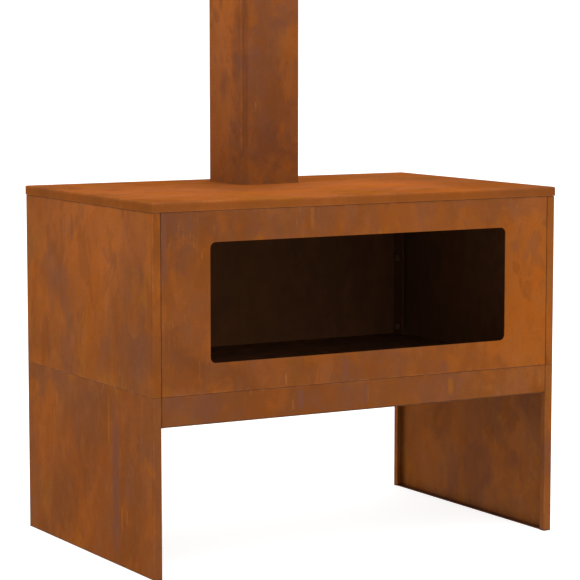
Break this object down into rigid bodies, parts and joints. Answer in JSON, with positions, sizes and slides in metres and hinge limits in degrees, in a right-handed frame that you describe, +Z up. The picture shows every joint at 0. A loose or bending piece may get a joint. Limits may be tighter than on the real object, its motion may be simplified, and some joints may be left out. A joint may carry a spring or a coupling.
{
  "type": "outdoor fireplace",
  "caption": "Wide rectangular firebox of folded weathering steel on two full-depth side legs, with an open front, a flat lid and a tall square chimney.",
  "frame": {"origin": "centre of the footprint, on the ground", "axes": "+Z up, -Y out of the firebox's open front, +X to the right of someone who faces the front"},
  "size_m": [1.001, 0.63, 2.2763],
  "materials": {
    "weathered_steel": "matt orange-brown rust, streaked",
    "dark_rusted_steel": "matt dark brown rust",
    "sooty_steel": "matt, blackened by soot",
    "fasteners": "dull brown, lightly rusted"
  },
  "bodies": {
    "root": {"bolt_front_left_box_high": "fasteners", "bolt_front_left_box_low": "fasteners", "bolt_front_left_box_middle": "fasteners", "bolt_front_left_rail_high": "fasteners", "bolt_front_left_rail_low": "fasteners", "bolt_front_right_box_high": "fasteners", "bolt_front_right_box_low": "fasteners", "bolt_front_right_box_middle": "fasteners", "bolt_front_right_rail_high": "fasteners", "bolt_front_right_rail_low": "fasteners", "bolt_rear_left_box_high": "fasteners", "bolt_rear_left_box_low": "fasteners", "bolt_rear_left_box_middle": "fasteners", "bolt_rear_left_rail_high": "fasteners", "bolt_rear_left_rail_low": "fasteners", "bolt_rear_right_box_high": "fasteners", "bolt_rear_right_box_low": "fasteners", "bolt_rear_right_box_middle": "fasteners", "bolt_rear_right_rail_high": "fasteners", "bolt_rear_right_rail_low": "fasteners", "chimney": "weathered_steel", "flue_collar": "sooty_steel", "front_panel": "weathered_steel", "front_rail": "weathered_steel", "hearth_plate": "sooty_steel", "left_bearer": "dark_rusted_steel", "left_leg": "weathered_steel", "left_lid_rail": "dark_rusted_steel", "left_side_panel": "weathered_steel", "lid": "weathered_steel", "lid_nut_front_left": "fasteners", "lid_nut_front_right": "fasteners", "lid_nut_rear_left": "fasteners", "lid_nut_rear_right": "fasteners", "nut_front_left_box_high": "fasteners", "nut_front_left_box_middle": "fasteners", "nut_front_left_rail_low": "fasteners", "nut_front_right_box_high": "fasteners", "nut_front_right_box_middle": "fasteners", "nut_front_right_rail_low": "fasteners", "nut_rear_left_box_high": "fasteners", "nut_rear_left_box_middle": "fasteners", "nut_rear_left_rail_low": "fasteners", "nut_rear_right_box_high": "fasteners", "nut_rear_right_box_middle": "fasteners", "nut_rear_right_rail_low": "fasteners", "rear_panel": "weathered_steel", "rear_rail": "weathered_steel", "right_bearer": "dark_rusted_steel", "right_leg": "weathered_steel", "right_lid_rail": "dark_rusted_steel", "right_side_panel": "weathered_steel", "splice_front_left": "dark_rusted_steel", "splice_front_right": "dark_rusted_steel", "splice_rear_left": "dark_rusted_steel", "splice_rear_right": "dark_rusted_steel"}
  },
  "joints": []
}
